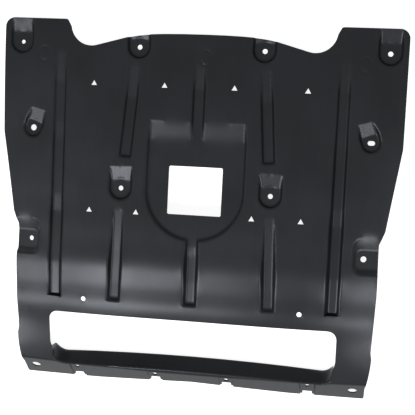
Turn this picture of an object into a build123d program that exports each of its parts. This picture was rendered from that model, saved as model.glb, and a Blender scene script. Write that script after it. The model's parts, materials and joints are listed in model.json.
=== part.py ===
"""Engine splash shield: one moulded sheet of black plastic that closes the bottom of an engine bay.

The shield is modelled with its road side up. Its own panel frame has X across the car, Y to the rear
of the car and Z square to the flat panel, with the origin in the middle of the panel. The finished
moulding is then laid down on its front flange and rear pads, as it would lie on a floor.

The sheet is the space between two blocks, as between the halves of a mould: the upper block has the
road side as its top, the lower block has the engine side, and both are carved with the same pockets.
"""
import os
from math import atan2, cos, degrees, pi, radians, sin, tan

from build123d import *

# Sheet
wall = 3.0
half_width = 427.0
block_depth = 140.0
block_margin = 35.0
grid_pitch_x = 60.0
grid_pitch_y = 14.0
surface_tolerance = 0.5

# Rear edge, with a tab at each side and a round cut-out beside it
tab_rear_y = 433.5
tab_inner_x = 290.0
tab_corner_radius = 20.0
tab_inner_radius = 6.0
rear_edge_y = 409.3
cut_out_x = 237.0
cut_out_bottom_y = 379.0
cut_out_radius = 45.0
cut_out_slope = 15.5
cut_out_end_angle = -8.0
rear_shoulder_x = 155.0
rear_shoulder_run = 25.0

# Side edges, from rear to front
side_taper_y = 190.0
waist_half_width = 401.5
waist_y = 18.0
pad_edge_half_width = 390.5
pad_edge_y = -10.0
arm_edge_half_width = 391.7
arm_edge_y = -120.0
nick_half_width = 387.0
nick_y = -241.0
nick_width = 30.0
nick_depth = 2.4
toe_swell = 3.0
toe_swell_length = 12.0
side_corner_radii = [60.0, 12.0, 12.0, 60.0, 7.0]
toe_corner_radius = 4.0
flange_step_radius = 500.0
toe_half_width = 379.5
toe_y = -325.0

# Road-side surface: a flat middle, drooping sides, a soft ridge and a sloping chin
crown_half_width = 190.0
crown_power = 1.5
side_droop = 28.0
droop_full_y = -60.0
droop_fade_y = -180.0
ridge_start_y = -88.0
ridge_end_y = -136.0
ridge_drop = 7.0
shelf_slope = 3.0
crease_y = -172.0
crease_length = 18.0
chin_slope = 19.5

# Front lip: the ridge where the chin turns into the flange
apex_y = -323.0
apex_bow = 7.0
flange_slope = 49.0
flange_edge_y = -345.0
flange_corner_y = -354.0
flange_step_x = 215.0

# Front slot and the lip wall that rises behind the ridge
slot_half_width = 314.0
slot_rear_y = -198.0
slot_front_y = -297.0
slot_front_bow = 9.0
slot_rear_radius = 20.0
slot_front_radius = 30.0
lip_edge_z = -88.0
lip_slope = 48.0
lip_inset = 4.5
lip_return = 65.0
lip_trim = 1.0

# Pockets
draft = 27.0
lid_clearance = 6.0
overrun = 1.5
punch_reach = 18.0

# Service opening in the round-ended recess
recess_centre_y = 80.0
recess_radius = 101.5
recess_depth = 8.0
recess_ramp_start = 106.0
recess_ramp_end = 149.0
service_width = 115.0
service_length = 102.5
service_centre_y = 81.5
service_corner_radius = 3.5

# Screw pads: a ramp is its start and its end from the hole, and half its width at the end
pad_hole_diameter = 10.5
ear_x = 390.0
ear_y = 383.0
ear_radius = 21.0
ear_depth = 9.5
ear_ramp = (20.0, 50.0, 23.0)
rear_pad_x = 133.0
rear_pad_y = 379.7
rear_pad_radius = 20.5
rear_pad_depth = 10.5
rear_pad_ramp = (15.0, 46.0, 20.5)
side_pad_x = 361.8
side_pad_y = 200.0
side_pad_radius = 17.0
side_pad_depth = 8.0
side_pad_ramp = (15.0, 43.0, 15.0)
side_pad_lean = 20.0
middle_pad_x = 160.2
middle_pad_y = 79.3
middle_pad_radius = 21.0
middle_pad_depth = 8.5
middle_pad_ramp = (17.0, 47.0, 25.0)
ear_hole_diameter_left = 8.5
side_hole_diameter_left = 13.0
side_slot_length = 15.0
side_slot_width = 9.5
lower_hole_diameter_right = 12.5

# Lower screw pads, parallel to the drooping sides: floor edges from the hole, and the run of each wall
lower_pad_x = 361.5
lower_pad_y = -41.5
lower_pad_depth = 9.0
lower_pad_inner = 18.0
lower_pad_outer = 45.0
lower_pad_front = 22.5
lower_pad_rear = 19.0
lower_pad_side_run = 5.5
lower_pad_front_run = 9.0
lower_pad_rear_run = 24.0
lower_pad_floor_radius = 12.0
lower_pad_rim_radius = 19.0

# Other holes
drain_side = 12.5
drain_rear_x = (74.3, 227.0)
drain_rear_y = 299.4
drain_front_x = (123.8, 226.6)
drain_front_y = 29.0
plain_hole_x = 233.5
plain_hole_y = -165.0
plain_hole_diameter = 10.5
corner_hole_x = 354.0
corner_hole_fall = 24.0
corner_hole_diameter = 19.5
notch_x = (79.5, 257.0)
notch_hole_fall = 15.0
notch_hole_diameter = 10.0
notch_width = 20.0
notch_depth = 12.0
notch_corner_radius = 4.0
notch_pad_width = 29.0
notch_pad_depth = 2.5
notch_pad_fall = 5.0
notch_pad_length = 60.0

# Stiffening grooves
groove_half_width = 9.8
outer_groove_x = 301.5
outer_groove_rear_y = 366.0
inner_groove_rear_x = 138.5
inner_groove_front_x = 153.5
inner_groove_rear_y = 342.0
inner_groove_front_y = 145.5
short_groove_rear_x = 161.5
short_groove_front_x = 167.0
short_groove_rear_y = 38.0
groove_front_y = -164.0
spine_rear_y = 350.0
groove_end_length = 4.5
groove_end_overrun = 1.0

# Depth of each groove at distances from its rear end, where it fades into the surface
groove_fade = (-8.0, -0.8)
outer_depths = [(66, 7), (148, 7), (184, 8.5), (306, 8.5), (344, 11.5), (454, 10)]
inner_depths = [(70, 8)]
short_depths = [(92, 8.5), (164, 8)]
spine_depths = [(56, 8), (388, 8), (408, 10.5), (464, 9)]


def blend(value, start, end):
    """Share of the way from start to end, from 0 to 1, flat at both ends."""
    share = min(max((value - start) / (end - start), 0.0), 1.0)
    return 0.5 - 0.5 * cos(pi * share)


def bend(distance, length):
    """Distance past a bend that is spread over a length."""
    if distance < 0:
        return 0.0
    if distance < length:
        return distance * distance / (2 * length)
    return distance - length / 2


def skin_height(x, y):
    """Height of the road side over the flat panel."""
    ridge = ridge_drop * blend(y, ridge_start_y, ridge_end_y)
    shelf = tan(radians(shelf_slope)) * bend(ridge_end_y - y, crease_length)
    chin = (tan(radians(chin_slope)) - tan(radians(shelf_slope))) * bend(crease_y - y, crease_length)
    droop = side_droop * blend(y, tab_rear_y, droop_full_y) * (1 - blend(y, droop_fade_y, apex_y))
    reach = max(abs(x) - crown_half_width, 0.0) / (half_width - crown_half_width)
    return -(ridge + shelf + chin + droop * reach**crown_power)


def apex_y_at(x):
    """Place of the front ridge, which bows back towards the sides."""
    return apex_y + apex_bow * (x / toe_half_width) ** 2


def flange_edge_y_at(x):
    """Place of the flange's free edge, which runs forward from the middle to the corners."""
    share = min(abs(x) / flange_step_x, 1.0)
    return flange_edge_y + (flange_corner_y - flange_edge_y) * share


apex_z = skin_height(0, apex_y)
wall_shift = wall * (1 - sin(radians(draft))) / cos(radians(draft))


def channel(start, heading, stations, skin):
    """Drafted trough with flat walls: stations are (distance along it, floor half width, floor height)."""
    direction_x = cos(radians(heading))
    direction_y = sin(radians(heading))
    sections = []
    for distance, floor_half_width, floor_z in stations:
        centre_x = start[0] + distance * direction_x
        centre_y = start[1] + distance * direction_y
        lid_z = max(skin_height(centre_x, centre_y), floor_z) + lid_clearance
        floor_half = floor_half_width + wall_shift * skin / wall
        bottom_z = floor_z - skin
        lid_half = floor_half + (lid_z - bottom_z) * tan(radians(draft))
        corners = [(-floor_half, bottom_z), (floor_half, bottom_z), (lid_half, lid_z), (-lid_half, lid_z)]
        section = []
        for across, z in corners:
            section.append((centre_x - across * direction_y, centre_y + across * direction_x, z))
        sections.append(section)
    faces = [Face(Wire.make_polygon(sections[0])), Face(Wire.make_polygon(sections[-1]))]
    for near, far in zip(sections, sections[1:]):
        for corner in range(4):
            side = [near[corner - 1], near[corner], far[corner], far[corner - 1]]
            faces.append(Face(Wire.make_polygon(side)))
    return Solid(Shell(faces))


def seat(centre, radius, floor_z, skin):
    """Round drafted pocket with a level floor."""
    height = skin_height(*centre) - floor_z + lid_clearance + skin
    with BuildPart() as tool:
        with BuildSketch(Plane.XY.offset(floor_z - skin)):
            with Locations(centre):
                Circle(radius + wall_shift * skin / wall)
        extrude(amount=height, taper=-draft)
    return tool.part


def groove(rear, front, depths, skin):
    """Stiffening groove that fades in at the rear, follows the surface and has a steep front end."""
    length = ((front[0] - rear[0]) ** 2 + (front[1] - rear[1]) ** 2) ** 0.5
    heading = degrees(atan2(front[1] - rear[1], front[0] - rear[0]))
    end_depth = depths[-1][1]
    end_rise = end_depth + overrun
    changes = [groove_fade] + depths + [(length - groove_end_length, end_depth)]
    stations = []
    for distance, depth in changes + [(length + groove_end_overrun, -overrun)]:
        x = rear[0] + (front[0] - rear[0]) * distance / length
        y = rear[1] + (front[1] - rear[1]) * distance / length
        flare = end_rise * tan(radians(draft)) if distance > length else 0.0
        stations.append((distance, groove_half_width + flare, skin_height(x, y) - depth))
    return channel(rear, heading, stations, skin)


def pad_pocket(centre, radius, depth, heading, ramp, skin):
    """Level screw seat with a ramp that climbs back to the surface."""
    ramp_start, ramp_end, ramp_half_width = ramp
    floor_z = skin_height(*centre) - depth
    end_x = centre[0] + ramp_end * cos(radians(heading))
    end_y = centre[1] + ramp_end * sin(radians(heading))
    end_z = skin_height(end_x, end_y)
    extra = (ramp_end - ramp_start) * overrun / (end_z - floor_z)
    stations = [
        (0, radius, floor_z),
        (ramp_start, radius, floor_z),
        (ramp_end + extra, ramp_half_width, end_z + overrun),
    ]
    return [seat(centre, radius, floor_z, skin), channel(centre, heading, stations, skin)]


def lower_pad_plane(side):
    """Plane on the drooping surface at a lower screw pad: its Y points to the rear."""
    rise = skin_height(lower_pad_x + lower_pad_inner, lower_pad_y)
    rise -= skin_height(lower_pad_x - lower_pad_inner, lower_pad_y)
    slope = side * rise / (2 * lower_pad_inner)
    return Plane(
        origin=(side * lower_pad_x, lower_pad_y, skin_height(lower_pad_x, lower_pad_y)),
        x_dir=(1, 0, slope),
        z_dir=(-slope, 0, 1),
    )


def lower_pad_pocket(side, skin):
    """Screw seat that opens through the side edge, with a steep front and a ramp at the rear."""
    pad = lower_pad_plane(side)
    climb = lower_pad_depth + overrun + skin
    reaches = []
    for run in (lower_pad_side_run, lower_pad_front_run, lower_pad_rear_run):
        grow = skin * tan(atan2(lower_pad_depth, run) / 2)
        reaches.append((grow, grow + climb * run / lower_pad_depth))
    with BuildPart() as tool:
        for level, z in enumerate((-lower_pad_depth - skin, overrun)):
            inner = lower_pad_inner + reaches[0][level]
            front = lower_pad_front + reaches[1][level]
            rear = lower_pad_rear + reaches[2][level]
            radius = (lower_pad_floor_radius, lower_pad_rim_radius)[level] + reaches[0][0]
            with BuildSketch(pad.offset(z)):
                with Locations((side * (lower_pad_outer - inner) / 2, (rear - front) / 2)):
                    RectangleRounded(lower_pad_outer + inner, front + rear, radius)
        loft(ruled=True)
    return tool.part


def pockets(skin):
    """All pads, grooves and the recess of one side of the sheet, as solids to carve."""
    pads = [
        (ear_x, ear_y, ear_radius, ear_depth, 0.0, ear_ramp),
        (rear_pad_x, rear_pad_y, rear_pad_radius, rear_pad_depth, 0.0, rear_pad_ramp),
        (side_pad_x, side_pad_y, side_pad_radius, side_pad_depth, side_pad_lean, side_pad_ramp),
        (middle_pad_x, middle_pad_y, middle_pad_radius, middle_pad_depth, 0.0, middle_pad_ramp),
    ]
    grooves = [
        (outer_groove_x, outer_groove_rear_y, outer_groove_x, groove_front_y, outer_depths),
        (inner_groove_rear_x, inner_groove_rear_y, inner_groove_front_x, inner_groove_front_y, inner_depths),
        (short_groove_rear_x, short_groove_rear_y, short_groove_front_x, groove_front_y, short_depths),
    ]
    tools = [groove((0, spine_rear_y), (0, groove_front_y), spine_depths, skin)]
    for side in (-1, 1):
        for x, y, radius, depth, lean, ramp in pads:
            tools += pad_pocket((side * x, y), radius, depth, 90 + side * lean, ramp, skin)
        for rear_x, rear_y, front_x, front_y, depths in grooves:
            tools.append(groove((side * rear_x, rear_y), (side * front_x, front_y), depths, skin))
        tools.append(lower_pad_pocket(side, skin))
    centre = (0, recess_centre_y)
    slope = recess_depth / (recess_ramp_end - recess_ramp_start)
    ramp = [
        (0, recess_radius, -recess_depth),
        (recess_ramp_start, recess_radius, -recess_depth),
        (recess_ramp_end + overrun / slope, recess_radius, overrun),
    ]
    tools += [seat(centre, recess_radius, -recess_depth, skin), channel(centre, 90, ramp, skin)]
    return tools


def lip_scoop(skin):
    """Hollow behind the front ridge: its sloping front side becomes the lip wall."""
    lean = 90 - lip_slope
    grow = skin * (1 - sin(radians(lean))) / cos(radians(lean))
    half = slot_half_width - lip_inset + grow
    rear_y = slot_front_y + lip_return
    with BuildPart() as tool:
        for z in (lip_edge_z - skin, lid_clearance):
            front_y = slot_front_y - (z - lip_edge_z + skin) / tan(radians(lip_slope)) - grow
            with BuildSketch(Plane.XY.offset(z)) as level:
                with BuildLine():
                    ThreePointArc((-half, front_y), (0, front_y + slot_front_bow), (half, front_y))
                    Polyline((half, front_y), (half, rear_y), (-half, rear_y), (-half, front_y))
                make_face()
                fillet(level.vertices().group_by(Axis.Y)[0], radius=slot_front_radius + grow)
        loft(ruled=True)
    return tool.part


def flange_plane(x):
    """Plane on the flange at a place along the front: its Y points up to the ridge."""
    return Plane(
        origin=(x, apex_y_at(x), apex_z),
        x_dir=(1, 0, 0),
        z_dir=(0, -sin(radians(flange_slope)), cos(radians(flange_slope))),
    )


def notch_pad(x, skin):
    """Shallow recess in the flange around a notch and its hole."""
    grow = wall_shift * skin / wall
    with BuildPart() as tool:
        with BuildSketch(flange_plane(x).offset(-notch_pad_depth - skin)):
            with Locations((0, -notch_pad_fall - notch_pad_length / 2)):
                Rectangle(notch_pad_width + 2 * grow, notch_pad_length + 2 * grow)
        extrude(amount=notch_pad_depth + skin + lid_clearance, taper=-draft)
    return tool.part


def mould_block(skin):
    """Solid under one side of the sheet, with its pockets: skin is 0 for the road side."""
    reach_x = half_width + block_margin
    rear_y = tab_rear_y + block_margin
    front_y = flange_corner_y - block_margin
    columns = round(2 * reach_x / grid_pitch_x)
    rows = round((rear_y - front_y) / grid_pitch_y)
    grid = []
    for row in range(rows + 1):
        y = front_y + (rear_y - front_y) * row / rows
        line = []
        for column in range(columns + 1):
            x = reach_x * (2 * column / columns - 1)
            line.append((x, y, skin_height(x, y) - skin))
        grid.append(line)
    surface = Face.make_surface_from_array_of_points(grid, tol=surface_tolerance, min_deg=3)
    tools = pockets(skin) + [lip_scoop(skin)]
    tools += [notch_pad(side * x, skin) for side in (-1, 1) for x in notch_x]
    spread = reach_x + block_margin
    limit_y = rear_y + block_margin
    with BuildPart() as flange_limit:
        for z in (-block_depth, lid_clearance):
            shift = (z - apex_z) / tan(radians(flange_slope)) + skin / sin(radians(flange_slope))
            side_y = apex_y_at(spread) + shift
            with BuildSketch(Plane.XY.offset(z)):
                with BuildLine():
                    ThreePointArc((-spread, side_y), (0, apex_y + shift), (spread, side_y))
                    Polyline((spread, side_y), (spread, limit_y), (-spread, limit_y), (-spread, side_y))
                make_face()
        loft(ruled=True)
    with BuildPart() as block:
        extrude(surface, amount=2 * block_depth, dir=(0, 0, -1))
        add(flange_limit.part, mode=Mode.INTERSECT)
        add(tools, mode=Mode.SUBTRACT)
    return block.part


def outline():
    """Plan outline of the whole shield, drawn for one side and mirrored."""
    slope_x = cos(radians(cut_out_slope))
    slope_y = sin(radians(cut_out_slope))
    centre_y = cut_out_bottom_y + cut_out_radius
    arc_start = (cut_out_x - cut_out_radius * slope_y, centre_y - cut_out_radius * slope_x)
    arc_end = (
        cut_out_x + cut_out_radius * cos(radians(cut_out_end_angle)),
        centre_y + cut_out_radius * sin(radians(cut_out_end_angle)),
    )
    shoulder_y = arc_start[1] + (arc_start[0] - rear_shoulder_x) * slope_y / slope_x
    with BuildSketch() as plan:
        with BuildLine():
            Bezier(
                (0, rear_edge_y),
                (rear_shoulder_x / 2, rear_edge_y),
                (rear_shoulder_x - rear_shoulder_run * slope_x, shoulder_y + rear_shoulder_run * slope_y),
                (rear_shoulder_x, shoulder_y),
            )
            Line((rear_shoulder_x, shoulder_y), arc_start)
            ThreePointArc(arc_start, (cut_out_x, cut_out_bottom_y), arc_end)
            FilletPolyline(
                arc_end,
                (tab_inner_x, tab_rear_y),
                (half_width, tab_rear_y),
                (half_width, side_taper_y),
                (waist_half_width, waist_y),
                (pad_edge_half_width, pad_edge_y),
                (arm_edge_half_width, arm_edge_y),
                (nick_half_width, nick_y),
                (nick_half_width + nick_depth, nick_y - nick_width / 2),
                radius=[tab_inner_radius, tab_corner_radius] + side_corner_radii,
            )
            Bezier(
                (nick_half_width + nick_depth, nick_y - nick_width / 2),
                (nick_half_width + nick_depth / 2, nick_y - 1.5 * nick_width),
                (toe_half_width + toe_swell, toe_y + toe_swell_length),
                (toe_half_width, toe_y),
            )
            FilletPolyline(
                (toe_half_width, toe_y),
                (toe_half_width, flange_corner_y),
                (flange_step_x, flange_corner_y),
                (0, flange_edge_y),
                radius=[toe_corner_radius, flange_step_radius],
            )
            Line((0, flange_edge_y), (0, rear_edge_y))
        make_face()
        mirror(about=Plane.YZ)
    return plan.sketch


def notch(x):
    """Notch in the flange's free edge, with rounded corners, drawn on the flange."""
    edge = (apex_y_at(x) - flange_edge_y_at(x)) / cos(radians(flange_slope))
    half = notch_width / 2
    with BuildSketch(flange_plane(x)) as cut:
        with BuildLine():
            for side in (-1, 1):
                Line((0, notch_depth - edge), (side * half, notch_depth - edge))
                Line((side * half, notch_depth - edge), (side * half, notch_corner_radius - edge))
                RadiusArc(
                    (side * half, notch_corner_radius - edge),
                    (side * (half + notch_corner_radius), -edge),
                    -side * notch_corner_radius,
                )
                Line(
                    (side * (half + notch_corner_radius), -edge),
                    (side * (half + notch_corner_radius), -edge - notch_depth),
                )
                Line(
                    (side * (half + notch_corner_radius), -edge - notch_depth),
                    (0, -edge - notch_depth),
                )
        make_face()
    return cut.sketch


def slot_outline():
    """Front slot in plan, cut a little outside the hollow so that no rim of its floor stays."""
    front_y = slot_front_y - lip_trim
    with BuildSketch() as plan:
        with BuildLine():
            ThreePointArc(
                (-slot_half_width, front_y),
                (0, front_y + slot_front_bow),
                (slot_half_width, front_y),
            )
            Polyline(
                (slot_half_width, front_y),
                (slot_half_width, slot_rear_y),
                (-slot_half_width, slot_rear_y),
                (-slot_half_width, front_y),
            )
        make_face()
        fillet(plan.vertices().group_by(Axis.Y)[-1], radius=slot_rear_radius)
        fillet(plan.vertices().group_by(Axis.Y)[0], radius=slot_front_radius)
    return plan.sketch


upper_block = mould_block(0.0)
lower_block = mould_block(wall)
through = 2 * block_depth

with BuildPart() as moulding:
    add(upper_block)
    add(lower_block, mode=Mode.SUBTRACT)

    with BuildSketch(Plane.XY.offset(-block_depth)):
        add(outline())
    extrude(amount=through, mode=Mode.INTERSECT)

    with BuildSketch(Plane.XY.offset(-block_depth)):
        add(slot_outline())
    extrude(amount=through, mode=Mode.SUBTRACT)

    # Service opening, screw holes, plain holes and drain holes go straight through
    with BuildSketch(Plane.XY.offset(-block_depth)):
        with Locations((0, service_centre_y)):
            RectangleRounded(service_width, service_length, service_corner_radius)
        with Locations((-ear_x, ear_y)):
            Circle(ear_hole_diameter_left / 2)
        with Locations((ear_x, ear_y), (-rear_pad_x, rear_pad_y), (rear_pad_x, rear_pad_y)):
            Circle(pad_hole_diameter / 2)
        with Locations((-middle_pad_x, middle_pad_y), (middle_pad_x, middle_pad_y)):
            Circle(pad_hole_diameter / 2)
        with Locations((-side_pad_x, side_pad_y)):
            Circle(side_hole_diameter_left / 2)
        with Locations((side_pad_x, side_pad_y)):
            SlotOverall(side_slot_length, side_slot_width)
        with Locations((-plain_hole_x, plain_hole_y), (plain_hole_x, plain_hole_y)):
            Circle(plain_hole_diameter / 2)
        with Locations([(side * x, drain_rear_y) for side in (-1, 1) for x in drain_rear_x]):
            Triangle(a=drain_side, b=drain_side, C=60)
        with Locations([(side * x, drain_front_y) for side in (-1, 1) for x in drain_front_x]):
            Triangle(a=drain_side, b=drain_side, C=60)
    extrude(amount=through, mode=Mode.SUBTRACT)

    # Holes square to the lower pads
    for side, diameter in ((-1, pad_hole_diameter), (1, lower_hole_diameter_right)):
        with BuildSketch(lower_pad_plane(side)):
            Circle(diameter / 2)
        extrude(amount=lower_pad_depth + punch_reach, both=True, mode=Mode.SUBTRACT)

    # Holes and notches square to the flange
    for side in (-1, 1):
        with BuildSketch(flange_plane(side * corner_hole_x)):
            with Locations((0, -corner_hole_fall)):
                Circle(corner_hole_diameter / 2)
        extrude(amount=punch_reach, both=True, mode=Mode.SUBTRACT)
        for x in notch_x:
            with BuildSketch(flange_plane(side * x)):
                with Locations((0, -notch_hole_fall)):
                    Circle(notch_hole_diameter / 2)
            extrude(amount=punch_reach, both=True, mode=Mode.SUBTRACT)
            extrude(notch(side * x), amount=punch_reach, both=True, mode=Mode.SUBTRACT)

# The moulding lies on the corners of its front flange and on its rear pads
rear_foot_z = skin_height(rear_pad_x, rear_edge_y) - rear_pad_depth - wall
flange_fall = (apex_y_at(toe_half_width) - flange_corner_y) * tan(radians(flange_slope))
front_foot_z = apex_z - flange_fall - wall / cos(radians(flange_slope))
rest_tilt = degrees(atan2(rear_foot_z - front_foot_z, rear_edge_y - flange_corner_y))

with BuildPart() as tilted:
    with Locations(Location((0, 0, 0), (-rest_tilt, 0, 0))):
        add(moulding.part)
rest_box = tilted.part.bounding_box()

with BuildPart() as splash_shield:
    with Locations((0, -rest_box.center().Y, -rest_box.min.Z)):
        add(tilted.part)

splash_shield.part.label = "splash_shield"
os.makedirs("parts", exist_ok=True)
export_step(splash_shield.part, "parts/splash_shield.step")
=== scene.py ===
"""Looks of an engine splash shield: one sheet of satin black plastic with pads, grooves and a front flange.

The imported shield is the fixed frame. A finer copy of it, with rounded rims, is shown in its place, in the
same frame and in metres, with a procedural finish, on a pale studio floor.
"""

import json
import logging
import math
from dataclasses import dataclass, field
from enum import Enum

import bmesh
import bpy
import numpy as np
from mathutils import Matrix, Vector
from mathutils.bvhtree import BVHTree
from mathutils.geometry import delaunay_2d_cdt


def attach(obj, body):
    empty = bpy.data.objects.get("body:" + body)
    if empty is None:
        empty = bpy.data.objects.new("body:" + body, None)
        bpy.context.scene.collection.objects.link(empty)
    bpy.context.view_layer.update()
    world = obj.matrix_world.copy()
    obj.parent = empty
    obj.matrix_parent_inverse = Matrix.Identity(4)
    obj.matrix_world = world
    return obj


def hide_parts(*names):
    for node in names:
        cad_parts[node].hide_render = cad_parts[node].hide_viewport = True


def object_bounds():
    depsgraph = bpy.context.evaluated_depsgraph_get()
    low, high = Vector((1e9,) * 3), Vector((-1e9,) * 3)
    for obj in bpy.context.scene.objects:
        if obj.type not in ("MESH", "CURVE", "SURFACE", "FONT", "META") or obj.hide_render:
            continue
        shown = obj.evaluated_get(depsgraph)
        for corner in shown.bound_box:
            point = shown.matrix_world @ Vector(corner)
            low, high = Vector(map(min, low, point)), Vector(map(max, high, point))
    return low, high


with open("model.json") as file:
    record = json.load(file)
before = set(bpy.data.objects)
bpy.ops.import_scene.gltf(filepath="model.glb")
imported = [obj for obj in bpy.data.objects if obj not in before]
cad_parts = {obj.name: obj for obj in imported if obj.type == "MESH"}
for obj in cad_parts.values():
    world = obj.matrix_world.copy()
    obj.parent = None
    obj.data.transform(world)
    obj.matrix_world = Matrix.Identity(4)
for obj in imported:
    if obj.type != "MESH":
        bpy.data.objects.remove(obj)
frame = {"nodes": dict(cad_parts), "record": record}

LOG = logging.getLogger("splash_shield")
CAD_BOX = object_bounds()
MILLIMETRE = 0.001
WHITE = (1.0, 1.0, 1.0, 1.0)
# A probe starts this far off the panel, in millimetres.
PROBE_START = 200.0
# One hole of the record and its middle in the panel frame, in millimetres.
EAR_HOLE_NAME = "ear_hole_right"
EAR_HOLE_PLACE = (390.0, 383.0, -11.0)
# A cubic spline takes so many control heights along each axis.
SPLINE_CONTROLS = 4


@dataclass(frozen=True)
class PanelPose:
    """How the shield's own panel frame lies in the model's frame.

    The panel frame has X across the shield, Y to its rear and Z out of its road side, in millimetres. The
    model lies with the panel tipped about X, so that it rests on its front flange and its rear pads.
    """

    tilt: float
    origin: Vector

    @classmethod
    def from_mount(cls, name: str, panel_point: tuple[float, float, float]) -> "PanelPose":
        """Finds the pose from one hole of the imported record.

        Args:
            name: The mount of a hole whose axis is square to the panel.
            panel_point: The middle of that hole in the panel frame, in millimetres.

        Returns:
            The pose of the panel in the model's frame.
        """
        mount = next(m for m in frame["record"]["mounts"] if m["name"] == name)
        tilt = math.atan2(mount["axis"][1], mount["axis"][2])
        turned = Matrix.Rotation(-tilt, 3, "X") @ (Vector(panel_point) * MILLIMETRE)
        return cls(tilt, Vector(mount["pos_m"]) - turned)

    def matrix(self) -> Matrix:
        """Returns the matrix from the panel frame, in metres, to the model's frame."""
        return Matrix.Translation(self.origin) @ Matrix.Rotation(-self.tilt, 4, "X")


@dataclass(frozen=True)
class SatinPlastic:
    """Moulded polypropylene: near black, satin, with a fine mould grain and flow marks."""

    name: str = "satin_black_polypropylene"
    dark: tuple[float, float, float] = (0.0057, 0.0061, 0.0069)
    pale: tuple[float, float, float] = (0.0088, 0.0095, 0.0108)
    roughness_low: float = 0.27
    roughness_high: float = 0.34
    specular: float = 0.18
    sheen_tint: tuple[float, float, float] = (0.88, 0.92, 1.0)
    index: float = 1.49
    cloud_scale: float = 7.0
    cloud_detail: float = 4.0
    streak_stretch: tuple[float, float, float] = (420.0, 9.0, 9.0)
    streak_scale: float = 1.0
    streak_detail: float = 3.0
    streak_share: float = 0.35
    least_mix: float = 0.45
    greatest_mix: float = 0.9
    grain_scale: float = 1500.0
    grain_detail: float = 2.0
    grain_height: float = 0.00006
    grain_strength: float = 0.35

    def material(self) -> bpy.types.Material:
        """Builds the node tree of the finish.

        Returns:
            The material.
        """
        material = bpy.data.materials.new(self.name)
        material.use_nodes = True
        nodes = material.node_tree.nodes
        link = material.node_tree.links.new
        shader = nodes["Principled BSDF"]
        shader.inputs["IOR"].default_value = self.index
        shader.inputs["Specular IOR Level"].default_value = self.specular
        shader.inputs["Specular Tint"].default_value = (*self.sheen_tint, 1.0)

        place = nodes.new("ShaderNodeTexCoord")
        clouds = nodes.new("ShaderNodeTexNoise")
        clouds.inputs["Scale"].default_value = self.cloud_scale
        clouds.inputs["Detail"].default_value = self.cloud_detail
        link(place.outputs["Object"], clouds.inputs["Vector"])

        stretch = nodes.new("ShaderNodeMapping")
        stretch.inputs["Scale"].default_value = self.streak_stretch
        link(place.outputs["Object"], stretch.inputs["Vector"])
        streaks = nodes.new("ShaderNodeTexNoise")
        streaks.inputs["Scale"].default_value = self.streak_scale
        streaks.inputs["Detail"].default_value = self.streak_detail
        link(stretch.outputs["Vector"], streaks.inputs["Vector"])

        blend = nodes.new("ShaderNodeMath")
        blend.operation = "MULTIPLY_ADD"
        blend.inputs[1].default_value = self.streak_share
        link(streaks.outputs["Fac"], blend.inputs[0])
        link(clouds.outputs["Fac"], blend.inputs[2])

        tone = nodes.new("ShaderNodeValToRGB")
        tone.color_ramp.elements[0].position = self.least_mix
        tone.color_ramp.elements[0].color = (*self.dark, 1.0)
        tone.color_ramp.elements[1].position = self.greatest_mix
        tone.color_ramp.elements[1].color = (*self.pale, 1.0)
        link(blend.outputs["Value"], tone.inputs["Fac"])
        link(tone.outputs["Color"], shader.inputs["Base Color"])

        gloss = nodes.new("ShaderNodeMapRange")
        gloss.inputs["From Min"].default_value = self.least_mix
        gloss.inputs["From Max"].default_value = self.greatest_mix
        gloss.inputs["To Min"].default_value = self.roughness_low
        gloss.inputs["To Max"].default_value = self.roughness_high
        link(blend.outputs["Value"], gloss.inputs["Value"])
        link(gloss.outputs["Result"], shader.inputs["Roughness"])

        grain = nodes.new("ShaderNodeTexNoise")
        grain.inputs["Scale"].default_value = self.grain_scale
        grain.inputs["Detail"].default_value = self.grain_detail
        link(place.outputs["Object"], grain.inputs["Vector"])
        bump = nodes.new("ShaderNodeBump")
        bump.inputs["Strength"].default_value = self.grain_strength
        bump.inputs["Distance"].default_value = self.grain_height
        link(grain.outputs["Fac"], bump.inputs["Height"])
        link(bump.outputs["Normal"], shader.inputs["Normal"])
        return material


@dataclass(frozen=True)
class StudioWhite:
    """Pale paint of the floor, which the camera and clear reflections see as near white."""

    name: str = "studio_white"
    colour: tuple[float, float, float] = (0.42, 0.42, 0.42)
    roughness: float = 0.9
    glow: float = 0.92

    def material(self) -> bpy.types.Material:
        """Builds the floor's finish.

        Returns:
            The material.
        """
        material = bpy.data.materials.new(self.name)
        material.use_nodes = True
        nodes = material.node_tree.nodes
        link = material.node_tree.links.new
        shader = nodes["Principled BSDF"]
        shader.inputs["Base Color"].default_value = (*self.colour, 1.0)
        shader.inputs["Roughness"].default_value = self.roughness
        shader.inputs["Specular IOR Level"].default_value = 0.0
        shader.inputs["Emission Color"].default_value = WHITE
        seen = seen_directly(material.node_tree)
        level = nodes.new("ShaderNodeMath")
        level.operation = "MULTIPLY"
        level.inputs[1].default_value = self.glow
        link(seen, level.inputs[0])
        link(level.outputs["Value"], shader.inputs["Emission Strength"])
        return material


def seen_directly(tree: bpy.types.NodeTree) -> bpy.types.NodeSocket:
    """Adds nodes that tell whether a ray shows the background itself.

    Args:
        tree: The node tree that gets the nodes.

    Returns:
        A socket that is 1 for camera, mirror and clear rays, and 0 for the rays that light the object.
    """
    path = tree.nodes.new("ShaderNodeLightPath")
    first = tree.nodes.new("ShaderNodeMath")
    first.operation = "MAXIMUM"
    tree.links.new(path.outputs["Is Camera Ray"], first.inputs[0])
    tree.links.new(path.outputs["Is Glossy Ray"], first.inputs[1])
    second = tree.nodes.new("ShaderNodeMath")
    second.operation = "MAXIMUM"
    tree.links.new(first.outputs["Value"], second.inputs[0])
    tree.links.new(path.outputs["Is Transmission Ray"], second.inputs[1])
    return second.outputs["Value"]


class Side(Enum):
    """A side of the sheet, as the sign of its outward height."""

    ROAD = 1
    ENGINE = -1


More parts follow.
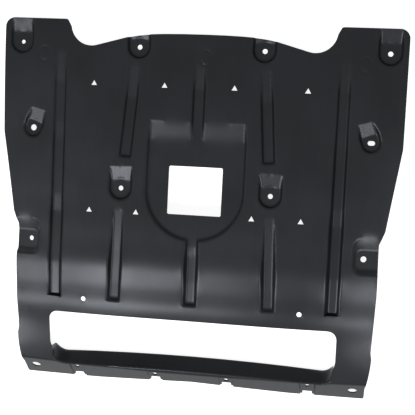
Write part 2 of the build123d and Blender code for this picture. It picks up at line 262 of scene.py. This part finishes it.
@dataclass(frozen=True)
class OvalMark:
    """A faint ring that a blank of the mould leaves in the road side, in panel millimetres."""

    x: float
    y: float
    half_width: float = 11.0
    half_length: float = 15.5
    line_width: float = 2.0
    depth: float = 0.7

    def depth_at(self, x: np.ndarray, y: np.ndarray) -> np.ndarray:
        """Gives how deep the ring is at some places.

        Args:
            x: The places across the panel.
            y: The places along the panel.

        Returns:
            The depths in millimetres.
        """
        ring = np.hypot((x - self.x) / self.half_width, (y - self.y) / self.half_length) - 1.0
        return self.depth * np.exp(-((ring * self.half_width / self.line_width) ** 2))


@dataclass
class PackedSheet:
    """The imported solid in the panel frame, in millimetres, sorted into its two sides and its edges."""

    node: str
    pose: PanelPose
    weld_distance: float = 0.01
    widest_fold: float = math.radians(68.0)
    least_rise: float = 0.3
    flat_rise: float = 0.9
    solid: bmesh.types.BMesh = field(init=False)
    tree: BVHTree = field(init=False)

    def __post_init__(self) -> None:
        """Reads the node and makes its probing tree."""
        source = frame["nodes"][self.node]
        self.solid = bmesh.new()
        self.solid.from_mesh(source.data)
        to_panel = Matrix.Scale(1 / MILLIMETRE, 4) @ self.pose.matrix().inverted() @ source.matrix_world
        self.solid.transform(to_panel)
        bmesh.ops.remove_doubles(self.solid, verts=self.solid.verts, dist=self.weld_distance)
        self.solid.normal_update()
        self.solid.verts.ensure_lookup_table()
        self.solid.faces.ensure_lookup_table()
        self.tree = BVHTree.FromBMesh(self.solid)

    def skin(self, side: Side) -> np.ndarray:
        """Finds the facets of one side: all that its largest flat reaches without a sharp fold.

        Args:
            side: The side to find.

        Returns:
            For each facet, whether it belongs to the side.
        """
        flats = [face for face in self.solid.faces if face.normal.z * side.value > self.flat_rise]
        waiting = [max(flats, key=lambda face: face.calc_area())]
        chosen = np.zeros(len(self.solid.faces), dtype=bool)
        while waiting:
            face = waiting.pop()
            chosen[face.index] = True
            for edge in face.edges:
                for near in edge.link_faces:
                    if chosen[near.index] or near.normal.z * side.value < self.least_rise:
                        continue
                    if face.normal.angle(near.normal) < self.widest_fold:
                        waiting.append(near)
        return chosen

    def rims(self, skin: np.ndarray) -> list[np.ndarray]:
        """Chains the edges round one side and its openings into closed rows of points.

        Args:
            skin: The facets of the side.

        Returns:
            The rows of points.
        """
        ahead: dict[int, list[int]] = {}
        for face in self.solid.faces:
            if not skin[face.index]:
                continue
            for loop in face.loops:
                if not any(skin[near.index] for near in loop.edge.link_faces if near is not face):
                    ahead.setdefault(loop.vert.index, []).append(loop.link_loop_next.vert.index)
        rows = []
        while ahead:
            here = next(iter(ahead))
            row = []
            while here in ahead:
                row.append(here)
                following = ahead[here].pop()
                if not ahead[here]:
                    del ahead[here]
                here = following
            rows.append(np.array([self.solid.verts[index].co for index in row]))
        return rows

    def facets(self, chosen: np.ndarray) -> tuple[np.ndarray, np.ndarray]:
        """Copies some facets as they are.

        Args:
            chosen: For each facet, whether it is copied.

        Returns:
            The corners and the triangles.
        """
        corners = np.array([vert.co for vert in self.solid.verts])
        triangles = [[v.index for v in face.verts] for face in self.solid.faces if chosen[face.index]]
        return corners, np.array(triangles)

    def height(self, skin: np.ndarray, side: Side, x: float, y: float) -> float:
        """Probes the height of one side at one place.

        Args:
            skin: The facets of the side.
            side: The side that is probed.
            x: The place across the panel.
            y: The place along the panel.

        Returns:
            The height, or not a number where the side is open.
        """
        place, _, index, _ = self.tree.ray_cast((x, y, side.value * PROBE_START), (0.0, 0.0, -side.value))
        return place.z if index is not None and skin[index] else math.nan


@dataclass
class CrownedSurface:
    """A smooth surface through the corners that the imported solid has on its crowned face."""

    pitch_x: float = 50.0
    pitch_y: float = 12.0
    stiffness: float = 0.002
    trims: tuple[float, ...] = (1.0, 0.4, 0.15)
    low: np.ndarray = field(init=False)
    count_x: int = field(init=False)
    count_y: int = field(init=False)
    net: np.ndarray = field(init=False)

    def fit(self, points: np.ndarray) -> None:
        """Fits the surface, and drops what lies off it round by round.

        Args:
            points: Corners of one side in panel millimetres.
        """
        self.low = points[:, :2].min(axis=0)
        reach = points[:, :2].max(axis=0) - self.low
        self.count_x = int(reach[0] / self.pitch_x) + SPLINE_CONTROLS
        self.count_y = int(reach[1] / self.pitch_y) + SPLINE_CONTROLS
        self.net = self.solve(points)
        for limit in self.trims:
            miss = points[:, 2] - self.at(points[:, 0], points[:, 1])
            self.net = self.solve(points[abs(miss) < limit])

    def weights(self, offset: np.ndarray) -> np.ndarray:
        """Gives the share of a control height by its distance, as cubic splines have it.

        Args:
            offset: The distances in pitches.

        Returns:
            The shares, 0 from two pitches on.
        """
        offset = abs(offset)
        near = 2 / 3 - offset**2 + offset**3 / 2
        far = (2 - offset) ** 3 / 6
        return np.where(offset < 1, near, np.where(offset < 2, far, 0.0))

    def solve(self, points: np.ndarray) -> np.ndarray:
        """Finds the net of control heights that passes nearest to the points.

        Args:
            points: The points that the surface follows, in panel millimetres.

        Returns:
            The control heights, row by row across the panel.
        """
        spot = (points[:, :2] - self.low) / (self.pitch_x, self.pitch_y)
        controls = np.floor(spot).astype(int)[:, :, None] + np.arange(SPLINE_CONTROLS)
        share = self.weights(spot[:, :, None] - (controls - 1))
        shares = share[:, 0, :, None] * share[:, 1, None, :]
        shares = shares.reshape(-1, SPLINE_CONTROLS**2)
        places = controls[:, 0, :, None] * self.count_y + controls[:, 1, None, :]
        places = places.reshape(-1, SPLINE_CONTROLS**2)
        bend_x = np.diff(np.eye(self.count_x), 2, axis=0)
        bend_y = np.diff(np.eye(self.count_y), 2, axis=0)
        normal = np.kron(bend_x.T @ bend_x, np.eye(self.count_y))
        normal += np.kron(np.eye(self.count_x), bend_y.T @ bend_y)
        normal *= self.stiffness
        np.add.at(normal, (places[:, :, None], places[:, None, :]), shares[:, :, None] * shares[:, None, :])
        pull = np.zeros(self.count_x * self.count_y)
        np.add.at(pull, places, shares * points[:, 2:])
        return np.linalg.solve(normal, pull).reshape(self.count_x, self.count_y)

    def rows(self, places: np.ndarray, low: float, pitch: float, count: int) -> np.ndarray:
        """Gives the shares of all the control rows at some places."""
        return self.weights((places[:, None] - low) / pitch - (np.arange(count)[None, :] - 1))

    def at(self, x: np.ndarray, y: np.ndarray) -> np.ndarray:
        """Gives the heights at pairs of places.

        Args:
            x: The places across the panel.
            y: The places along the panel, as many.

        Returns:
            One height for each pair.
        """
        across = self.rows(x, self.low[0], self.pitch_x, self.count_x)
        along = self.rows(y, self.low[1], self.pitch_y, self.count_y)
        return np.einsum("ij,jk,ik->i", across, self.net, along)

    def on_grid(self, x: np.ndarray, y: np.ndarray) -> np.ndarray:
        """Gives the heights where rows of x cross rows of y.

        Args:
            x: The places of the rows across the panel.
            y: The places of the rows along the panel.

        Returns:
            The heights on the grid.
        """
        across = self.rows(x, self.low[0], self.pitch_x, self.count_x)
        along = self.rows(y, self.low[1], self.pitch_y, self.count_y)
        return across @ self.net @ along.T


@dataclass
class SkinLayout:
    """Lays one side of the sheet out again: fine facets where it bends, wide ones where it is plain.

    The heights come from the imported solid, so the form stays. Rims and floor edges are rounded as a mould
    leaves them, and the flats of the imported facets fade.
    """

    sheet: PackedSheet
    side: Side
    pitch: float
    marks: tuple[OvalMark, ...] = ()
    margin_steps: int = 2
    wide_step: int = 6
    middle_step: int = 3
    plain_limit: float = 0.3
    bend_limit: float = 0.035
    gentle_limit: float = 0.006
    plain_rounds: int = 110
    rim_rounds: int = 3
    ease_share: float = 0.125
    edge_probes: int = 4
    same_corner: float = 0.00001
    same_surface: float = 0.3
    other_surface: float = 0.8
    widest_pocket: float = 215.0
    pocket_limit: float = 1.0

    def lay(self, skin: np.ndarray) -> tuple[np.ndarray, np.ndarray]:
        """Makes the facets of one side.

        Args:
            skin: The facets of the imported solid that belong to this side.

        Returns:
            The corners and the triangles of this side.
        """
        rims = self.sheet.rims(skin)
        edge = np.vstack(rims)
        margin = self.margin_steps * self.pitch
        low = edge[:, :2].min(axis=0) - margin
        count = np.ceil((edge[:, :2].max(axis=0) + margin - low) / self.pitch).astype(int) + 1
        xs = low[0] + self.pitch * np.arange(count[0])
        ys = low[1] + self.pitch * np.arange(count[1])
        height = np.array([[self.sheet.height(skin, self.side, x, y) for y in ys] for x in xs])
        inside = ~np.isnan(height)
        height = self.crowned(skin, xs, ys, np.where(inside, height, -PROBE_START))
        height = self.smooth(height, inside)
        for mark in self.marks:
            height = height - mark.depth_at(xs[:, None], ys[None, :])
        keep = self.chosen(height, inside) & ~self.beside(rims, low, inside.shape)
        picked = np.argwhere(keep)
        inner = np.column_stack((xs[picked[:, 0]], ys[picked[:, 1]], height[keep]))
        return self.join(skin, rims, inner)

    def crowned(self, skin: np.ndarray, xs: np.ndarray, ys: np.ndarray, height: np.ndarray) -> np.ndarray:
        """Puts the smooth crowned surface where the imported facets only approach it.

        Args:
            skin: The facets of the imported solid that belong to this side.
            xs: The places of the grid across the panel.
            ys: The places of the grid along the panel.
            height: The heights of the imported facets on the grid.

        Returns:
            The heights with the crowned face made smooth.
        """
        faces = self.sheet.solid.faces
        flat = [face for face in faces if skin[face.index] and abs(face.normal.z) > self.sheet.flat_rise]
        corners = {vert.index: vert.co for face in flat for vert in face.verts}
        points = np.array(list(corners.values()))
        column, row = np.rint((points[:, :2] - (xs[0], ys[0])) / self.pitch).astype(int).T
        points = points[points[:, 2] > self.filled(height)[column, row] - self.pocket_limit]
        surface = CrownedSurface()
        surface.fit(points)
        crown = surface.on_grid(xs, ys)
        miss = height - crown
        share = np.clip((abs(miss) - self.same_surface) / (self.other_surface - self.same_surface), 0.0, 1.0)
        return crown + miss * share * share * (3 - 2 * share)

    def filled(self, height: np.ndarray) -> np.ndarray:
        """Fills the pockets level from side to side.

        Args:
            height: The heights on the grid.

        Returns:
            The heights, in each pocket those of the lower rim beside it.
        """
        steps = round(self.widest_pocket / self.pitch)
        raised = height
        for _ in range(steps):
            raised = np.maximum(raised, np.roll(raised, 1, 0))
        lowered = raised
        for _ in range(steps):
            lowered = np.minimum(lowered, np.roll(lowered, -1, 0))
        return lowered

    def second(self, height: np.ndarray, inside: np.ndarray, axis: int) -> np.ndarray:
        """Gives the bend of the sheet along one axis of the grid, and 0 beside an edge."""
        both = np.roll(inside, 1, axis) & np.roll(inside, -1, axis) & inside
        return np.where(both, np.roll(height, 1, axis) + np.roll(height, -1, axis) - 2 * height, 0.0)

    def bending(self, height: np.ndarray, inside: np.ndarray) -> np.ndarray:
        """Gives the greater bend of the two axes at each place of the grid."""
        return np.maximum(abs(self.second(height, inside, 0)), abs(self.second(height, inside, 1)))

    def eased(self, height: np.ndarray, inside: np.ndarray) -> np.ndarray:
        """Moves each height towards its neighbours, which keeps a slope as it is."""
        bend = self.second(height, inside, 0) + self.second(height, inside, 1)
        return height + self.ease_share * bend

    def smooth(self, height: np.ndarray, inside: np.ndarray) -> np.ndarray:
        """Smooths the plain areas well and the rims a little.

        Args:
            height: The heights on the grid.
            inside: Where the grid is on the sheet.

        Returns:
            The smoothed heights.
        """
        rough = self.widened(self.bending(height, inside) > self.plain_limit * self.pitch, 1)
        calm = inside & ~rough
        for _ in range(self.plain_rounds):
            height = np.where(calm, self.eased(height, inside), height)
        for _ in range(self.rim_rounds):
            height = self.eased(height, inside)
        return height

    def widened(self, mask: np.ndarray, steps: int) -> np.ndarray:
        """Widens a mask.

        Args:
            mask: The mask on the grid.
            steps: By how many steps of the grid it grows.

        Returns:
            The wider mask.
        """
        for _ in range(steps):
            for axis in (0, 1):
                mask = mask | np.roll(mask, 1, axis) | np.roll(mask, -1, axis)
        return mask

    def chosen(self, height: np.ndarray, inside: np.ndarray) -> np.ndarray:
        """Chooses the places of the grid that get a corner: all at rims, fewer where the sheet is plain.

        Args:
            height: The heights on the grid.
            inside: Where the grid is on the sheet.

        Returns:
            The mask of those places.
        """
        bent = self.bending(height, inside)
        column, row = np.indices(inside.shape)
        wide = (column % self.wide_step == 0) & (row % self.wide_step == 0)
        middle = (column % self.middle_step == 0) & (row % self.middle_step == 0)
        near_rim = self.widened(bent > self.bend_limit * self.pitch, 1)
        near_bend = self.widened(bent > self.gentle_limit * self.pitch, self.middle_step)
        return inside & (wide | (middle & near_bend) | near_rim)

    def beside(self, rims: list[np.ndarray], low: np.ndarray, shape: tuple[int, int]) -> np.ndarray:
        """Marks the places of the grid that lie right beside an edge, where the edge's own points serve.

        Args:
            rims: Closed rows of points round this side and its openings.
            low: The lowest corner of the grid.
            shape: The size of the grid.

        Returns:
            The mask of those places.
        """
        near = np.zeros(shape, dtype=bool)
        for rim in rims:
            for start, end in zip(rim, np.roll(rim, -1, axis=0)):
                pieces = max(2, int(self.edge_probes * np.linalg.norm(end[:2] - start[:2]) / self.pitch))
                share = np.linspace(0.0, 1.0, pieces)[:, None]
                spots = np.rint((start[:2] + (end - start)[:2] * share - low) / self.pitch).astype(int)
                near[spots[:, 0], spots[:, 1]] = True
        return near

    def join(
        self, skin: np.ndarray, rims: list[np.ndarray], inner: np.ndarray
    ) -> tuple[np.ndarray, np.ndarray]:
        """Joins the edge points and the inner points into triangles.

        Args:
            skin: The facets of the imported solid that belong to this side.
            rims: Closed rows of points round this side and its openings.
            inner: The inner corners.

        Returns:
            The corners and the triangles of this side.
        """
        points = np.vstack([*rims, inner])
        fixed = []
        first = 0
        for rim in rims:
            last = first + len(rim) - 1
            fixed += [(index, index + 1) for index in range(first, last)] + [(last, first)]
            first = last + 1
        flat = [Vector((x, y)) for x, y in points[:, :2]]
        made = delaunay_2d_cdt(flat, fixed, [], 0, self.same_corner, True)
        corners = []
        for spot, origins in zip(made[0], made[3]):
            z = points[origins[0], 2] if origins else self.sheet.height(skin, self.side, spot.x, spot.y)
            corners.append((spot.x, spot.y, z))
        corners = np.array(corners)
        triangles = np.array(made[2])
        centres = corners[triangles].mean(axis=1)
        covered = [not math.isnan(self.sheet.height(skin, self.side, x, y)) for x, y, _ in centres]
        triangles = triangles[np.array(covered)]
        return corners, triangles[:, :: self.side.value]


@dataclass
class MouldedSheet:
    """The moulding itself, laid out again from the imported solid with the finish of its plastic."""

    pose: PanelPose
    name: str = "moulded_sheet"
    node: str = "splash_shield"
    slot: str = "black_plastic"
    road_pitch: float = 1.8
    engine_pitch: float = 3.2
    join_distance: float = 0.02
    sharp_fold: float = math.radians(38.0)
    marks: tuple[OvalMark, ...] = (
        OvalMark(-339.0, 358.5),
        OvalMark(11.0, 361.0),
        OvalMark(341.0, 358.0),
    )
    finish: SatinPlastic = field(default_factory=SatinPlastic)

    def build(self) -> bpy.types.Object:
        """Lays out both sides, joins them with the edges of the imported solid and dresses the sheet.

        Returns:
            The shown sheet.
        """
        packed = PackedSheet(self.node, self.pose)
        pieces = []
        edges = np.ones(len(packed.solid.faces), dtype=bool)
        plan = ((Side.ROAD, self.road_pitch, self.marks), (Side.ENGINE, self.engine_pitch, ()))
        for side, pitch, marks in plan:
            skin = packed.skin(side)
            edges &= ~skin
            pieces.append(SkinLayout(packed, side, pitch, marks).lay(skin))
            LOG.info("%s side: %d triangles", side.name.lower(), len(pieces[-1][1]))
        pieces.append(packed.facets(edges))
        sheet = bpy.data.objects.new(self.name, self.joined(pieces))
        bpy.context.scene.collection.objects.link(sheet)
        sheet.data.materials.append(self.finish.material())
        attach(sheet, "root")
        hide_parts(self.node)
        return sheet

    def joined(self, pieces: list[tuple[np.ndarray, np.ndarray]]) -> bpy.types.Mesh:
        """Joins corners and triangles into one mesh in the model's frame.

        Args:
            pieces: Corners in panel millimetres and triangles, piece by piece.

        Returns:
            The mesh, smooth but for its sharp folds.
        """
        corners = np.vstack([piece[0] for piece in pieces])
        starts = np.cumsum([0] + [len(piece[0]) for piece in pieces[:-1]])
        triangles = np.vstack([piece[1] + start for piece, start in zip(pieces, starts)])
        solid = bmesh.new()
        mesh = bpy.data.meshes.new(self.name)
        mesh.from_pydata(corners.tolist(), [], triangles.tolist())
        solid.from_mesh(mesh)
        bmesh.ops.remove_doubles(solid, verts=solid.verts, dist=self.join_distance)
        bmesh.ops.delete(solid, geom=[vert for vert in solid.verts if not vert.link_faces], context="VERTS")
        solid.transform(self.pose.matrix() @ Matrix.Scale(MILLIMETRE, 4))
        for vert in solid.verts:
            vert.co = [min(max(vert.co[axis], CAD_BOX[0][axis]), CAD_BOX[1][axis]) for axis in range(3)]
        for face in solid.faces:
            face.smooth = True
        solid.to_mesh(mesh)
        solid.free()
        mesh.set_sharp_from_angle(angle=self.sharp_fold)
        return mesh


@dataclass(frozen=True)
class SoftBox:
    """A square lamp with a diffuser, aimed at a point of the shield."""

    name: str
    place: tuple[float, float, float]
    aim: tuple[float, float, float]
    size: float
    power: float

    def build(self) -> bpy.types.Object:
        """Makes the lamp.

        Returns:
            The lamp's object.
        """
        lamp = bpy.data.lights.new(self.name, "AREA")
        lamp.shape = "SQUARE"
        lamp.size = self.size
        lamp.energy = self.power
        box = bpy.data.objects.new(self.name, lamp)
        box.location = self.place
        box.rotation_mode = "QUATERNION"
        box.rotation_quaternion = (Vector(self.aim) - Vector(self.place)).to_track_quat("-Z", "Y")
        bpy.context.scene.collection.objects.link(box)
        return box


@dataclass
class Studio:
    """The pale floor, the soft lamps and the even light of the room."""

    floor_half: float = 30.0
    room_light: float = 0.25
    room_white: float = 1.0
    boxes: tuple[SoftBox, ...] = (
        SoftBox("front_softbox", (-0.95, -1.1, 2.7), (0.0, -0.1, 0.0), 0.85, 68.0),
        SoftBox("left_softbox", (-2.0, -1.0, 2.35), (0.0, -0.1, 0.0), 0.8, 36.0),
        SoftBox("right_softbox", (1.45, -1.18, 2.45), (0.0, 0.0, 0.0), 0.95, 58.0),
    )
    paint: StudioWhite = field(default_factory=StudioWhite)

    def build(self) -> None:
        """Makes the floor, the lamps and the world."""
        self.floor()
        for box in self.boxes:
            box.build()
        self.room()

    def floor(self) -> bpy.types.Object:
        """Lays the floor under the shield.

        Returns:
            The floor.
        """
        half = self.floor_half
        low = CAD_BOX[0].z
        mesh = bpy.data.meshes.new("floor")
        corners = [(-half, -half, low), (half, -half, low), (half, half, low), (-half, half, low)]
        mesh.from_pydata(corners, [], [(0, 1, 2, 3)])
        mesh.materials.append(self.paint.material())
        floor = bpy.data.objects.new("floor", mesh)
        bpy.context.scene.collection.objects.link(floor)
        return floor

    def room(self) -> bpy.types.World:
        """Sets the even light of the room, which the camera sees as white.

        Returns:
            The world.
        """
        world = bpy.data.worlds.new("room")
        world.use_nodes = True
        tree = world.node_tree
        sky = tree.nodes["Background"]
        level = tree.nodes.new("ShaderNodeMapRange")
        level.inputs["To Min"].default_value = self.room_light
        level.inputs["To Max"].default_value = self.room_white
        tree.links.new(seen_directly(tree), level.inputs["Value"])
        sky.inputs["Color"].default_value = WHITE
        tree.links.new(level.outputs["Result"], sky.inputs["Strength"])
        bpy.context.scene.world = world
        return world


@dataclass
class PhotoCamera:
    """The camera, at the photograph's angle.

    The photograph doesn't fix the lens, so the focal length is a choice and the distance goes with it. Place
    and turn are given in the panel frame, so the camera follows the shield as it lies on the floor.
    """

    pose: PanelPose
    picture_side: float = 415.0
    sensor_width: float = 36.0
    focal_pixels: float = 948.85
    distance: float = 2003.24
    pan: tuple[float, float] = (-32.174, -47.146)
    turns: tuple[float, float, float] = (0.0566689, -0.1451692, -0.0503695)

    def build(self) -> bpy.types.Object:
        """Makes the camera and sets it as the scene's own.

        Returns:
            The camera's object.
        """
        lens = bpy.data.cameras.new("photo_camera")
        lens.sensor_width = self.sensor_width
        lens.lens = lens.sensor_width * self.focal_pixels / self.picture_side
        camera = bpy.data.objects.new("photo_camera", lens)
        about_x, about_y, about_z = self.turns
        turn = (
            Matrix.Rotation(about_z, 3, "Z")
            @ Matrix.Rotation(about_x, 3, "X")
            @ Matrix.Rotation(about_y, 3, "Y")
        ).transposed()
        place = turn @ (Vector((-self.pan[0], -self.pan[1], self.distance)) * MILLIMETRE)
        camera.matrix_world = self.pose.matrix() @ Matrix.Translation(place) @ turn.to_4x4()
        bpy.context.scene.collection.objects.link(camera)
        bpy.context.scene.camera = camera
        return camera


def plain_colours() -> None:
    """Shows colours as they are written."""
    bpy.context.scene.view_settings.view_transform = "Standard"


def main() -> None:
    """Builds the shield's looks, the studio and the camera, and reports each piece."""
    logging.basicConfig(level=logging.INFO, format="%(name)s: %(message)s")
    pose = PanelPose.from_mount(EAR_HOLE_NAME, EAR_HOLE_PLACE)
    PhotoCamera(pose).build()
    Studio().build()
    sheet = MouldedSheet(pose).build()
    LOG.info("%s: %d triangles", sheet.name, len(sheet.data.polygons))
    plain_colours()


if __name__ == "__main__":
    main()
